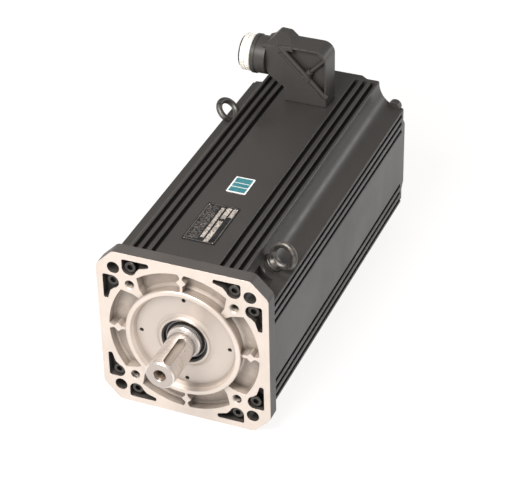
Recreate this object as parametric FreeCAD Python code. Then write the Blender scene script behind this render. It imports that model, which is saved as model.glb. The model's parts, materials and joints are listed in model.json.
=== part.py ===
import FreeCAD, Part
import math
import os

# Servo motor, millimetres. The motor axis is Y, the flange face is y = 0, the shaft points to -Y,
# the connector stands on the +Z side.

V = FreeCAD.Vector
ORIGIN = V(0, 0, 0)
X_AXIS = V(1, 0, 0)
Y_AXIS = V(0, 1, 0)

# flange and end shield
FLANGE_HALF = 96.0
FLANGE_CHAMFER = 19.5
FLANGE_CORNER_R = 8.0
FLANGE_T = 16.0
BOLT_CIRCLE = 215.0
BOLT_R = 7.0
TAP_CIRCLE = 165.0
TAP_R = 4.25
TAP_DEPTH = 15.0
PILOT_R = 65.0
PILOT_H = 3.5
PILOT_UNDERCUT = 1.6
DISC_Y = 5.0
RECESS_R = 85.0
RECESS_DEPTH = 11.5
HUB_R = 57.0
HUB_END = 41.0
POCKET_DEPTH = 11.0
POCKET_SCREW = (-58.0, 78.5)
SHIELD_SCREW_R = 4.0
SHIELD_SCREW_LEN = 23.0

# housing extrusion
BODY_HALF = 95.0
BODY_END = 424.0
BORE_R = 88.0
GROOVES = (38.1, 48.4, 58.4)
GROOVE_W = 5.2
GROOVE_DEPTH = 7.0
NOTCH_R = 27.0
NOTCH_C = 91.5
RELIEF_R = 11.0
RELIEF_END = 50.0

# rear end shield, its seat and its retaining ring
SEAT_R = 89.5
SEAT_Y = 312.0
PLATE_END = 324.0
RING_GROOVE_R = 92.0
RING_T = 3.0

# rear cover
COVER_T = 6.0
CROWN_H = 6.0
CROWN_TOP = 40.0
CROWN_FOOT = 48.0
LUG_R = 7.5
LUG_H = 9.0
COVER_INSET = 1.2
LUG_SCREW = (80.0, 60.0)
LUG_TIP = (83.0, 64.5)

# shaft
SHAFT_R = 16.0
SHAFT_END = -60.0
SEAL_SEAT_R = 19.0
SEAL_SEAT_Y = -1.0
KEY_W = 10.0
KEY_DEPTH = 5.0
KEY_FROM = -57.0
KEY_TO = -12.0
KEY_ANGLE = 25.0
CORE_BORE_R = 24.0

# bearings: bore r, outside r, width, start y, ball r, balls, pitch r, inner and outer shoulder r
FRONT_BEARING = (20.0, 45.0, 23.0, 18.0, 7.54, 8, 32.5, 28.0, 37.0)
REAR_BEARING = (17.5, 36.0, 17.0, 310.0, 5.55, 9, 26.75, 23.0, 30.5)
BALL_CLEARANCE = 0.06

# stator and rotor
STACK = (80.0, 270.0)
STATOR_BORE_R = 45.2
SLOTS = 24
SLOT_W = 7.0
SLOT_R = (48.5, 70.0)
SLOT_OPENING = 3.0
LINER_T = 0.5
WEDGE_H = 2.0
END_TURN_L = 20.0
ROTOR_CORE_R = 38.0
MAGNET_R = 43.0
SLEEVE_R = 44.4
POLES = 8
POLE_GAP = 3.0

# connector
CON_FRONT = 348.0
CON_REAR = 378.0
CON_MID = 363.0
CON_Z = 142.0
CON_BASE_Z = 96.0
CON_WALL = 3.0
CON_OUTER = [(-24, 96, 1.5), (27, 96, 1.5), (27, 165, 13), (-28, 165, 1.5), (-46, 162, 1.5),
             (-46, 131, 1.5), (-40, 123.5, 1.5), (-24, 113, 1.5)]
CON_INNER = [(-21, 100), (24, 100), (24, 162, 10), (-28, 162), (-43, 159.5), (-43, 132), (-38, 126),
             (-21, 115)]
CON_HUMP = [(-12, 160), (-16, 165.2, 5), (-24, 172.5, 6), (-36.5, 173.2, 5), (-44, 165, 6), (-50, 162.5),
            (-50, 160)]
CON_SPLIT = 131.0
CON_WINDOW = [(-27.5, 163.2), (16.5, 163.2), (25.3, 153.5), (25.3, 110.4)]
CLAMP_IN = 4.5
CLAMP_ALONG = 2.0
CLAMP_SEAT = 12.0
CLAMP_DEPTH = 9.0
BARREL_R = 22.0
BARREL_END = -64.0
NOSE_R = 17.0
RING_R = 21.4
NOSE_BORE_R = 12.5
NOSE_END = -79.0
INSERT_FRONT = -70.0
CON_HOLE_X = 1.5
CON_HOLE_R = 9.0
LEAD_R = 1.7
LEAD_PITCH = 2.1
LEAD_Z = 62.0

# lifting eyes
EYE_HEIGHT = 33.3
EYE_RING_R = 12.4
EYE_TUBE_R = 3.6
EYE_COLLAR_R = 10.0
EYE_SPOT_R = 10.5
EYE_SCREW_R = 4.0
EYE_SCREW_L = 8.0
# place along the motor, twist about the shank, side, distance of the seat from the motor axis
EYE_FRONT = (68.7, -12.0, 1, 103.6)
EYE_REAR = (323.0, 84.0, -1, 101.2)

# plates on the top face
NAME_PLATE = (-20.0, 17.0, 48.0, 120.0)
NAME_PLATE_T = 0.8
BADGE = (-12.0, 10.5, 147.0, 178.0)
BADGE_T = 0.5


def rod(r, y0, y1, x=0.0, z=0.0):
    return Part.makeCylinder(r, y1 - y0, V(x, y0, z), Y_AXIS)


def tube(r_out, r_in, y0, y1, x=0.0, z=0.0):
    return rod(r_out, y0, y1, x, z).cut(rod(r_in, y0 - 1, y1 + 1, x, z))


def bar(r, start, end):
    return Part.makeCylinder(r, (end - start).Length, start, end - start)


def across(r, x0, x1, y=CON_MID, z=CON_Z):
    return bar(r, V(x0, y, z), V(x1, y, z))


def block(x0, x1, y0, y1, z0, z1):
    return Part.makeBox(x1 - x0, y1 - y0, z1 - z0, V(x0, y0, z0))


def rounded(points, radii, closed):
    """Straight runs joined by tangent arcs; a radius of 0 keeps the corner sharp."""
    edges = []
    ends = []
    count = len(points)
    for i, here in enumerate(points):
        if radii[i] > 0:
            before = points[i - 1] - here
            after = points[(i + 1) % count] - here
            before.normalize()
            after.normalize()
            half = before.getAngle(after) / 2
            reach = radii[i] / math.tan(half)
            middle = before + after
            middle.normalize()
            top = here + middle * (radii[i] / math.sin(half) - radii[i])
            start = here + before * reach
            end = here + after * reach
            edges.append(Part.Arc(start, top, end).toShape())
            ends.append((start, end))
        else:
            ends.append((here, here))
    for i in range(count if closed else count - 1):
        start = ends[i][1]
        end = ends[(i + 1) % count][0]
        if start.distanceToPoint(end) > 1e-6:
            edges.append(Part.makeLine(start, end))
    return Part.Wire(Part.__sortEdges__(edges))


def outline(points):
    """Closed outline in the XZ plane; a third number on a point is its corner radius."""
    radii = [point[2] if len(point) > 2 else 0.0 for point in points]
    return rounded([V(point[0], 0, point[1]) for point in points], radii, True)


def plate(points, y0, y1):
    face = Part.Face(outline(points))
    face.translate(V(0, y0, 0))
    return face.extrude(V(0, y1 - y0, 0))


def turned(profile):
    """Solid of revolution about the motor axis from (radius, y) points."""
    wire = Part.makePolygon([V(r, y, 0) for r, y in profile + profile[:1]])
    return Part.Face(wire).revolve(ORIGIN, Y_AXIS, 360)


def spin(shape, degrees):
    turned_shape = shape.copy()
    turned_shape.rotate(ORIGIN, Y_AXIS, degrees)
    return turned_shape


def around(shape, count, first=0.0):
    return [spin(shape, first + 360.0 * i / count) for i in range(count)]


def join(shapes):
    result = shapes[0]
    if len(shapes) > 1:
        result = result.fuse(shapes[1:])
    return result.removeSplitter()


def group(shapes):
    return Part.makeCompound(shapes)


def corners(reach):
    return [(sx * reach, sz * reach) for sx in (-1, 1) for sz in (-1, 1)]


def eightfold(shape):
    mirrored = shape.mirror(ORIGIN, X_AXIS)
    return around(shape, 4) + around(mirrored, 4)


def save(name, shape):
    shape.exportStep("parts/" + name + ".step")


def cap_screw(r, head_r, head_h, socket_r, length):
    """Socket-head screw along +Y, seat of the head at y = 0, head on the -Y side."""
    head = rod(head_r, -head_h, 0)
    rim = [edge for edge in head.Edges if abs(edge.CenterOfMass.y + head_h) < 1e-6]
    head = head.makeChamfer(0.5, rim)
    hexagon = [(socket_r * math.cos(a), socket_r * math.sin(a))
               for a in [math.radians(60 * i) for i in range(6)]]
    socket = plate(hexagon, -head_h - 1, -head_h * 0.45)
    return join([head, rod(r, 0, length)]).cut(socket)


def moved(shape, x, y, z):
    copy = shape.copy()
    copy.translate(V(x, y, z))
    return copy


# ---------------------------------------------------------------- front end shield
def pocket():
    triangle = plate([(-66, 89, 2.5), (-35.5, 89, 2.5), (-35.5, 84.3, 2), (-46.5, 80.8), (-51.5, 75),
                      (-58, 78.5), (-66, 78.5)], -1, POCKET_DEPTH)
    return join([triangle, rod(8, -1, POCKET_DEPTH, *POCKET_SCREW)])


def recess():
    under = PILOT_R - PILOT_UNDERCUT
    groove = turned([(PILOT_R, -1), (RECESS_R, -1), (RECESS_R, 9.7), (83.2, RECESS_DEPTH),
                     (66.8, RECESS_DEPTH), (under, 9.7), (under, 0), (PILOT_R, 0)])
    rib = join([
        block(-1.5, 1.5, -2, RECESS_DEPTH + 1, 60, 88),
        plate([(-5.6, 75, 0.8), (0, 69.4, 0.8), (5.6, 75, 0.8), (0, 80.6, 0.8)], -2, RECESS_DEPTH + 1),
        plate([(-5.5, 88), (5.5, 88), (1.5, 81.5), (-1.5, 81.5)], -2, RECESS_DEPTH + 1),
    ])
    pad = plate([(-14, 88), (14, 88), (13, 84), (5.4, 72.5), (2.8, 62), (-2.8, 62), (-5.4, 72.5),
                 (-13, 84)], -2, RECESS_DEPTH + 1)
    return groove.cut(around(rib, 4) + around(pad, 4, 45))


def front_end_shield():
    inner = FLANGE_HALF - FLANGE_CHAMFER
    half_outline = [(FLANGE_HALF, inner), (inner, FLANGE_HALF), (-inner, FLANGE_HALF),
                    (-FLANGE_HALF, inner)]
    square = half_outline + [(-x, -z) for x, z in half_outline]
    flange = plate([(x, z, FLANGE_CORNER_R) for x, z in square], 0, FLANGE_T)
    flange = flange.cut(rod(PILOT_R, -1, FLANGE_T + 1))
    core = turned([(22, 10), (26, 10), (26, 2), (26.5, 1.5), (28.4, 1.5), (29, 2.1), (29.4, 3), (33, DISC_Y),
                   (55.6, DISC_Y), (59.6, -3), (60.2, -PILOT_H), (64.2, -PILOT_H), (PILOT_R, -2.7),
                   (PILOT_R, FLANGE_T), (BORE_R, FLANGE_T), (BORE_R, 22), (HUB_R, 22),
                   (HUB_R, HUB_END), (45, HUB_END), (45, 18), (22, 18)])
    shield = join([flange, core])
    cuts = [recess()] + eightfold(pocket())
    for x, z in corners(BOLT_CIRCLE / 2 / math.sqrt(2)):
        cuts.append(rod(BOLT_R, -1, FLANGE_T + 1, x, z))
    for x, z in corners(TAP_CIRCLE / 2 / math.sqrt(2)):
        cuts.append(rod(TAP_R, -1, TAP_DEPTH, x, z))
        cuts.append(Part.makeCone(TAP_R + 1.4, TAP_R, 1.4, V(x, 0, z), Y_AXIS))
    cuts += eightfold(rod(SHIELD_SCREW_R + 0.5, 0, FLANGE_T + 1, *POCKET_SCREW))
    cuts += around(rod(2.3, DISC_Y - 1, 15, 0, 50), 4)
    cuts += around(rod(2.5, 29, HUB_END + 1, 0, 51), 4, 45)
    return shield.cut(cuts)


# ---------------------------------------------------------------- housing
def notched_square(y0, y1, inset=0.0):
    half = BODY_HALF - inset
    body = block(-half, half, y0, y1, -half, half)
    body = body.cut([rod(NOTCH_R + inset, y0 - 1, y1 + 1, x, z) for x, z in corners(NOTCH_C)])
    lips = []
    for edge in body.Edges:
        middle = edge.CenterOfMass
        on_face = max(abs(middle.x), abs(middle.z)) > half - 0.01
        if on_face and abs(edge.tangentAt(edge.FirstParameter).y) > 0.99:
            lips.append(edge)
    return body.makeFillet(2.0, lips)


def body_profile(y0, y1):
    body = notched_square(y0, y1)
    deep = BODY_HALF - GROOVE_DEPTH
    half = GROOVE_W / 2
    slots = []
    for reach in GROOVES:
        for x in (-reach, reach):
            slot = plate([(x - half, deep, half * 0.9), (x + half, deep, half * 0.9),
                          (x + half, BODY_HALF - 0.7), (x + half + 0.7, BODY_HALF),
                          (x + half + 0.7, BODY_HALF + 1), (x - half - 0.7, BODY_HALF + 1),
                          (x - half - 0.7, BODY_HALF), (x - half, BODY_HALF - 0.7)], y0 - 1, y1 + 1)
            slots += around(slot, 4)
    return body.cut(slots)


def diagonal(distance, side):
    return distance / math.sqrt(2) * side, distance / math.sqrt(2)


def diagonal_rod(r, near, far, y, side):
    x0, z0 = diagonal(near, side)
    x1, z1 = diagonal(far, side)
    return bar(r, V(x0, y, z0), V(x1, y, z1))


def housing_shell():
    shell = body_profile(FLANGE_T, BODY_END)
    y_front, _, side_front, seat_front = EYE_FRONT
    shell = join([shell, diagonal_rod(EYE_COLLAR_R + 1.5, 96, seat_front, y_front, side_front)])
    cuts = [
        rod(BORE_R, FLANGE_T - 1, SEAT_Y),
        rod(SEAT_R, SEAT_Y, BODY_END + 1),
        rod(RING_GROOVE_R, PLATE_END, PLATE_END + RING_T),
        bar(CON_HOLE_R, V(CON_HOLE_X, CON_MID, 80), V(CON_HOLE_X, CON_MID, 100)),
    ]
    for x, z in corners(BOLT_CIRCLE / 2 / math.sqrt(2)):
        cuts.append(rod(RELIEF_R, FLANGE_T - 1, RELIEF_END, x, z))
    cuts += eightfold(rod(SHIELD_SCREW_R, FLANGE_T - 1, POCKET_DEPTH + SHIELD_SCREW_LEN + 2, *POCKET_SCREW))
    for y, _, side, seat in (EYE_FRONT, EYE_REAR):
        cuts.append(diagonal_rod(EYE_SCREW_R + 0.05, seat - EYE_SCREW_L - 0.5, seat + 1, y, side))
        cuts.append(diagonal_rod(EYE_SPOT_R, seat, seat + 6, y, side))
    cuts += around(rod(3.0, BODY_END - 24, BODY_END + 1, *LUG_SCREW), 4)
    for x, y in base_screw_places():
        cuts.append(bar(2.0, V(x, y, BODY_HALF - 5.5), V(x, y, BODY_HALF + 1)))
    for x, y in rivet_places():
        cuts.append(bar(1.0, V(x, y, BODY_HALF - 4), V(x, y, BODY_HALF + 1)))
    return shell.cut(cuts)


def rear_end_shield():
    body = turned([(22, 331), (33, 331), (33, 328.4), (36, 328.4), (36, 308), (43, 308), (46, SEAT_Y),
                   (SEAT_R, SEAT_Y), (SEAT_R, PLATE_END), (46, PLATE_END), (44, 335), (22, 335)])
    ribs = around(plate([(-2.5, 42), (2.5, 42), (2.5, 78), (-2.5, 78)], 305, SEAT_Y + 1), 6, 30)
    body = join([body] + ribs)
    passage = bar(8, V(0, SEAT_Y - 1, LEAD_Z), V(0, PLATE_END + 1, LEAD_Z))
    screw_holes = around(rod(2.0, 325, 336, 0, 39), 3, 60)
    return body.cut([passage] + screw_holes)


def rear_shield_ring():
    ring = tube(RING_GROOVE_R, 85.5, PLATE_END, PLATE_END + RING_T)
    gap = block(-9, 9, PLATE_END - 1, PLATE_END + RING_T + 1, -95, -80)
    return ring.cut(gap)


def rear_cover():
    cover = notched_square(BODY_END, BODY_END + COVER_T, COVER_INSET)
    y0 = BODY_END + COVER_T
    crown = Part.Face(Part.makePolygon([
        V(-CROWN_FOOT, y0, -BODY_HALF), V(CROWN_FOOT, y0, -BODY_HALF),
        V(CROWN_TOP, y0 + CROWN_H, -BODY_HALF), V(-CROWN_TOP, y0 + CROWN_H, -BODY_HALF),
        V(-CROWN_FOOT, y0, -BODY_HALF)])).extrude(V(0, 0, 2 * BODY_HALF))
    trim = notched_square(y0 - 1, y0 + CROWN_H + 1, COVER_INSET)
    crown = join([crown, spin(crown, 90)]).common(trim)
    spigot = tube(SEAT_R - 0.1, 84, BODY_END - 5, BODY_END)
    lug = join([rod(LUG_R, BODY_END, BODY_END + LUG_H, *LUG_SCREW),
                rod(LUG_R, BODY_END, BODY_END + LUG_H, *LUG_TIP)])
    cover = join([cover, crown, spigot] + around(lug, 4))
    cuts = around(rod(3.3, BODY_END - 1, BODY_END + LUG_H + 1, *LUG_SCREW), 4)
    cuts += around(rod(5.4, BODY_END + LUG_H - 6.5, BODY_END + LUG_H + 1, *LUG_SCREW), 4)
    cuts.append(rod(80, BODY_END - 1, BODY_END + 2))
    return cover.cut(cuts)


def flange_screws():
    screw = cap_screw(SHIELD_SCREW_R, 6.5, 8, 3.5, SHIELD_SCREW_LEN)
    return group(eightfold(moved(screw, POCKET_SCREW[0], POCKET_DEPTH, POCKET_SCREW[1])))


def rear_cover_screws():
    screw = cap_screw(3.0, 5.0, 6, 2.7, 24)
    screw.rotate(ORIGIN, V(0, 0, 1), 180)
    seat = BODY_END + LUG_H - 6.5
    return group(around(moved(screw, LUG_SCREW[0], seat, LUG_SCREW[1]), 4))


def eye_bolt(y, twist, side, seat):
    """Upright eye bolt with its collar at z = 0, laid over into the corner notch."""
    ring = Part.makeTorus(EYE_RING_R, EYE_TUBE_R, V(0, 0, EYE_HEIGHT - EYE_RING_R - EYE_TUBE_R), Y_AXIS)
    collar = Part.makeCylinder(EYE_COLLAR_R, 3.5)
    rims = [edge for edge in collar.Edges if abs(edge.CenterOfMass.z - 3.5) < 1e-6]
    collar = collar.makeFillet(1.2, rims)
    neck = Part.makeCone(7.5, 4.6, 3.5, V(0, 0, 3.0))
    screw = Part.makeCylinder(EYE_SCREW_R, EYE_SCREW_L, V(0, 0, -EYE_SCREW_L))
    bolt = join([ring, collar, neck, screw])
    bolt.rotate(ORIGIN, V(0, 0, 1), twist)
    bolt.rotate(ORIGIN, Y_AXIS, 45 * side)
    x, z = diagonal(seat, side)
    return moved(bolt, x, y, z)


# ---------------------------------------------------------------- plates on the top face
def rivet_places():
    x0, x1, y0, y1 = NAME_PLATE
    return [(x, y) for x in (x0 + 2.6, x1 - 2.6) for y in (y0 + 2.6, y1 - 2.6)]


def name_plate():
    x0, x1, y0, y1 = NAME_PLATE
    sheet = block(x0, x1, y0, y1, BODY_HALF, BODY_HALF + NAME_PLATE_T)
    edges = [e for e in sheet.Edges if abs(e.tangentAt(e.FirstParameter).z) > 0.99]
    sheet = sheet.makeFillet(1.5, edges)
    top = BODY_HALF + NAME_PLATE_T
    return sheet.cut([bar(1.0, V(x, y, BODY_HALF - 1), V(x, y, top + 1)) for x, y in rivet_places()])


def name_plate_rivets():
    top = BODY_HALF + NAME_PLATE_T
    rivets = []
    for x, y in rivet_places():
        above = block(x - 3, x + 3, y - 3, y + 3, top, top + 3)
        head = Part.makeSphere(2.0, V(x, y, top - 1.1)).common(above)
        rivets.append(join([head, bar(1.0, V(x, y, BODY_HALF - 4), V(x, y, top))]))
    return group(rivets)


def badge():
    x0, x1, y0, y1 = BADGE
    sheet = block(x0, x1, y0, y1, BODY_HALF, BODY_HALF + BADGE_T)
    edges = [e for e in sheet.Edges if abs(e.tangentAt(e.FirstParameter).z) > 0.99]
    return sheet.makeFillet(1.2, edges)


# ---------------------------------------------------------------- bearings
def bearing(spec, name):
    bore, outside, width, y0, ball_r, count, pitch, inner_shoulder, outer_shoulder = spec
    middle = y0 + width / 2
    race = Part.makeTorus(pitch, ball_r + BALL_CLEARANCE, V(0, middle, 0), Y_AXIS)
    y1 = y0 + width
    outer = turned([(outer_shoulder, y0), (outside - 1, y0), (outside, y0 + 1), (outside, y1 - 1),
                    (outside - 1, y1), (outer_shoulder, y1)]).cut(race)
    inner = turned([(bore + 0.7, y0), (inner_shoulder, y0), (inner_shoulder, y1), (bore + 0.7, y1),
                    (bore, y1 - 0.7), (bore, y0 + 0.7)]).cut(race)
    ball = Part.makeSphere(ball_r, V(0, middle, pitch))
    pocket_hole = Part.makeSphere(ball_r + 0.1, V(0, middle, pitch))
    half = width / 2 - 1.8
    web_in = inner_shoulder + 1.5
    web_out = outer_shoulder - 1.5
    cage = tube(web_out, web_in, middle - half, middle + half).cut(around(pocket_hole, count))
    save(name + "_outer_ring", outer)
    save(name + "_inner_ring", inner)
    save(name + "_balls", group(around(ball, count)))
    save(name + "_cage", cage)


def bearing_retainer():
    ring = turned([(39, HUB_END), (HUB_R, HUB_END), (HUB_R, HUB_END + 4), (39, HUB_END + 4)])
    return ring.cut(around(rod(2.5, HUB_END - 1, HUB_END + 5, 0, 51), 4, 45))


def retainer_screws():
    screw = cap_screw(2.5, 4.2, 4, 2.0, 14)
    screw.rotate(ORIGIN, V(0, 0, 1), 180)
    return group(around(moved(screw, 0, HUB_END + 4, 51), 4, 45))


def wave_spring():
    """Three-wave ring between the rear outer ring and the shoulder of its seat."""
    waves = []
    y_mid = 327.7
    for i in range(6):
        a0 = i * 60.0
        lift = 0.3 if i % 2 else -0.3
        sector = Part.makeCylinder(35, 0.8, V(0, y_mid - 0.4 + lift, 0), Y_AXIS, 60)
        core = Part.makeCylinder(31, 2.4, V(0, y_mid - 1.2, 0), Y_AXIS)
        waves.append(spin(sector.cut(core), a0))
    return join(waves)


# ---------------------------------------------------------------- shaft and seal
def shaft():
    body = turned([(0, SHAFT_END), (SHAFT_R - 1.2, SHAFT_END), (SHAFT_R, SHAFT_END + 1.2),
                   (SHAFT_R, SEAL_SEAT_Y - 0.6), (SEAL_SEAT_R - 1.0, SEAL_SEAT_Y - 0.6),
                   (SEAL_SEAT_R, SEAL_SEAT_Y + 0.9), (SEAL_SEAT_R, 17), (20, 17.5), (20, HUB_END),
                   (26, HUB_END), (26, 62), (CORE_BORE_R, 62), (CORE_BORE_R, 290), (21, 293),
                   (21, 310), (17.5, 310), (17.5, 328), (14, 330), (14, 346), (0, 346)])
    half = KEY_W / 2
    keyway = join([
        block(-half, half, KEY_FROM + half, KEY_TO - half, SHAFT_R - KEY_DEPTH, SHAFT_R + 2),
        bar(half, V(0, KEY_FROM + half, SHAFT_R - KEY_DEPTH), V(0, KEY_FROM + half, SHAFT_R + 2)),
        bar(half, V(0, KEY_TO - half, SHAFT_R - KEY_DEPTH), V(0, KEY_TO - half, SHAFT_R + 2)),
    ])
    cuts = [
        spin(keyway, KEY_ANGLE),
        rod(5.1, SHAFT_END - 1, SHAFT_END + 28),
        Part.makeCone(7.2, 5.1, 3.2, V(0, SHAFT_END, 0), Y_AXIS),
        Part.makeCone(5.1, 0, 3.0, V(0, SHAFT_END + 28, 0), Y_AXIS),
        rod(2.5, 336, 347),
    ]
    return body.cut(cuts)


def shaft_seal():
    ring = turned([(SEAL_SEAT_R + 0.06, 5.2), (20.4, 3.6), (21, 6), (22, 7.2), (24.2, 7.2), (24.2, 3),
                   (25.6, 3), (26, 3.4), (26, 10), (21.3, 10), (21.3, 8.2), (20.2, 7.2)])
    return ring.cut(seal_spring())


def seal_spring():
    return Part.makeTorus(22.0, 0.7, V(0, 6.6, 0), Y_AXIS)


# ---------------------------------------------------------------- rotor
def rotor_core():
    return tube(ROTOR_CORE_R, CORE_BORE_R, *STACK)


def rotor_magnets():
    sweep = 360.0 / POLES - POLE_GAP
    outer = Part.makeCylinder(MAGNET_R, STACK[1] - STACK[0], V(0, STACK[0], 0), Y_AXIS, sweep)
    magnet = outer.cut(rod(ROTOR_CORE_R, STACK[0] - 1, STACK[1] + 1))
    return group(around(magnet, POLES))


def rotor_sleeve():
    return tube(SLEEVE_R, MAGNET_R, *STACK)


def rotor_end_rings():
    front = tube(MAGNET_R, CORE_BORE_R, STACK[0] - 5, STACK[0])
    rear = tube(MAGNET_R, CORE_BORE_R, STACK[1], STACK[1] + 5)
    dimples = around(rod(2.5, STACK[1] + 2, STACK[1] + 6, 0, 36), 6)
    return group([front, rear.cut(dimples)])


# ---------------------------------------------------------------- stator
def slot_box(half, r0, r1, y0, y1):
    return block(-half, half, y0, y1, r0, r1)


def stator_core():
    core = tube(BORE_R, STATOR_BORE_R, *STACK)
    y0 = STACK[0] - 1
    y1 = STACK[1] + 1
    slot = join([slot_box(SLOT_W / 2, SLOT_R[0], SLOT_R[1], y0, y1),
                 slot_box(SLOT_OPENING / 2, STATOR_BORE_R - 2, SLOT_R[0] + 1, y0, y1)])
    return core.cut(around(slot, SLOTS))


def slot_liners():
    half = SLOT_W / 2
    low = SLOT_R[0]
    high = SLOT_R[1]
    y0 = STACK[0] - 3
    y1 = STACK[1] + 3
    liner = slot_box(half, low + WEDGE_H, high, y0, y1)
    liner = liner.cut(slot_box(half - LINER_T, low, high - LINER_T, y0 - 1, y1 + 1))
    return group(around(liner, SLOTS))


def slot_wedges():
    wedge = slot_box(SLOT_W / 2, SLOT_R[0], SLOT_R[0] + WEDGE_H, STACK[0] - 2, STACK[1] + 2)
    return group(around(wedge, SLOTS))


def stator_windings():
    low = SLOT_R[0] + WEDGE_H
    high = SLOT_R[1] - LINER_T
    half = SLOT_W / 2 - LINER_T
    y0 = STACK[0] - 4
    y1 = STACK[1] + 4
    coils = around(slot_box(half, low, high, y0, y1), SLOTS)
    ends = []
    for edge, direction in ((y0, -1), (y1, 1)):
        far = edge + direction * (END_TURN_L - 4)
        near = edge - direction * 0.6
        middle = far - direction * 4
        ends.append(turned([(low + 1, near), (high - 1, near), (high + 2, middle), (high - 3, far),
                            (low + 5, far), (low + 1, middle)]))
    return join(coils + ends)


# ---------------------------------------------------------------- encoder
def encoder_housing():
    cup = turned([(22.3, 335), (43, 335), (43, 340), (35, 340), (35, 376), (0, 376), (0, 373.5),
                  (33, 373.5), (33, 338), (22.3, 338)])
    holes = around(rod(2.2, 334, 341, 0, 39), 3, 60)
    return cup.cut(holes + [bar(4, V(0, 366, 30), V(0, 366, 40))])


def encoder_screws():
    screw = cap_screw(2.0, 3.5, 4, 1.7, 13)
    screw.rotate(ORIGIN, V(0, 0, 1), 180)
    return group(around(moved(screw, 0, 340, 39), 3, 60))


def encoder_hub():
    return turned([(14, 340), (20, 340), (20, 348), (12, 348), (12, 346), (14, 346)])


def encoder_disc():
    return tube(30, 12.5, 348, 349.2)


def encoder_board():
    board = tube(32.8, 10, 358, 359.6)
    read_head = block(-7, 7, 351, 358, 20, 30)
    chips = [block(-6, 6, 359.6, 361.4, 14, 24), block(-16, -11, 359.6, 361, -24, -14),
             block(10, 18, 359.6, 362, -20, -12)]
    socket = block(-6, 6, 359.6, 366, -32, -26)
    return join([board, read_head, socket] + chips)


# ---------------------------------------------------------------- connector
def connector_half(lower):
    """Half space on one side of the slanted parting plane x + z = CON_SPLIT."""
    far = 400.0
    a = V(-far, CON_FRONT - 50, CON_SPLIT + far)
    b = V(far, CON_FRONT - 50, CON_SPLIT - far)
    c = V(-far, CON_FRONT - 50, -far) if lower else V(far, CON_FRONT - 50, CON_SPLIT + far)
    return Part.Face(Part.makePolygon([a, b, c, a])).extrude(V(0, 100, 0))


def slanted(reach, y, along=0.0):
    """Point at a distance from the parting plane, on the normal through its middle."""
    x_mid = -0.5
    z_mid = CON_SPLIT - x_mid
    s = math.sqrt(0.5)
    return V(x_mid + (reach + along) * s, y, z_mid + (reach - along) * s)


def clamp(r, low, high):
    """A pair of rods across the parting plane, one in each half's side wall."""
    rows = (CON_FRONT + CLAMP_IN, CON_REAR - CLAMP_IN)
    return [bar(r, slanted(low, y, CLAMP_ALONG), slanted(high, y, CLAMP_ALONG)) for y in rows]


def hump():
    """Raised crest behind the barrel, its front end sloped down to the top face."""
    crest = plate(CON_HUMP, CON_FRONT, CON_REAR - 0.6)
    slope = Part.Face(Part.makePolygon([V(-60, 347, 162.5), V(-60, 369, 174.5), V(-60, 347, 180),
                                        V(-60, 347, 162.5)])).extrude(V(60, 0, 0))
    return crest.cut(slope)


def connector_body():
    block_shape = plate(CON_OUTER, CON_FRONT, CON_REAR)
    cavity = plate(CON_INNER, CON_FRONT + CON_WALL, CON_REAR - CON_WALL)
    body = block_shape.common(connector_half(True))
    barrel = join([across(BARREL_R, -46, BARREL_END + 5), across(BARREL_R + 1, BARREL_END, BARREL_END + 5)])
    rims = [e for e in barrel.Edges if abs(e.CenterOfMass.x - BARREL_END) < 1e-6 and e.Closed]
    barrel = barrel.makeFillet(1.0, rims)
    nose = join([across(NOSE_R, BARREL_END + 1, NOSE_END), across(NOSE_R + 1.2, NOSE_END, NOSE_END + 2)])
    body = join([body, barrel, nose, hump().common(connector_half(True))])
    groove = bar(2.0, slanted(-2.4, CON_FRONT - 0.4, -38), slanted(-2.4, CON_FRONT - 0.4, 34))
    body = body.cut([cavity, across(NOSE_BORE_R, -40, NOSE_END - 1), groove])
    columns = [column.common(block_shape) for column in clamp(3.9, -40, 0)]
    body = join([body] + columns)
    cuts = clamp(1.6, -CLAMP_SEAT - 1, 1) + clamp(2.8, -60, -CLAMP_SEAT)
    cuts.append(bar(CON_HOLE_R, V(CON_HOLE_X, CON_MID, 90), V(CON_HOLE_X, CON_MID, 101)))
    for x, y in base_screw_places():
        cuts.append(bar(2.0, V(x, y, 90), V(x, y, 104)))
    return body.cut(cuts)


def connector_cover():
    upper = connector_half(False)
    solid = plate(CON_OUTER, CON_FRONT, CON_REAR).common(upper)
    front_pocket = plate(CON_WINDOW, CON_FRONT - 1, CON_FRONT + 7)
    cavity = plate(CON_INNER, CON_FRONT + 10, CON_REAR - CON_WALL)
    ridge = bar(2.6, slanted(2.6, CON_FRONT + 0.9, -43), slanted(2.6, CON_FRONT + 0.9, 37))
    boss = rod(4.0, CON_FRONT - 2.5, CON_FRONT + 6, 4.5, 129.5)
    y_rib = CON_FRONT + CLAMP_IN
    rib = bar(2.2, slanted(0, y_rib, CLAMP_ALONG), slanted(34, y_rib, CLAMP_ALONG))
    extras = [ridge.common(upper), boss.common(upper), hump().common(upper), rib.common(solid)]
    columns = [column.common(solid) for column in clamp(3.9, 0, CLAMP_DEPTH + 1)]
    cover = join([solid.cut([front_pocket, cavity])] + extras + columns)
    return cover.cut(clamp(1.5, -1, CLAMP_DEPTH))


def connector_cover_screws():
    shanks = clamp(1.5, -CLAMP_SEAT, CLAMP_DEPTH - 0.5)
    heads = clamp(2.7, -CLAMP_SEAT - 2.6, -CLAMP_SEAT)
    sockets = clamp(1.2, -CLAMP_SEAT - 4, -CLAMP_SEAT - 1.2)
    return group([join(pair).cut(sockets) for pair in zip(shanks, heads)])


def base_screw_places():
    return [(x, y) for x in (-16.0, 19.0) for y in (355.5, 370.5)]


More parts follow.
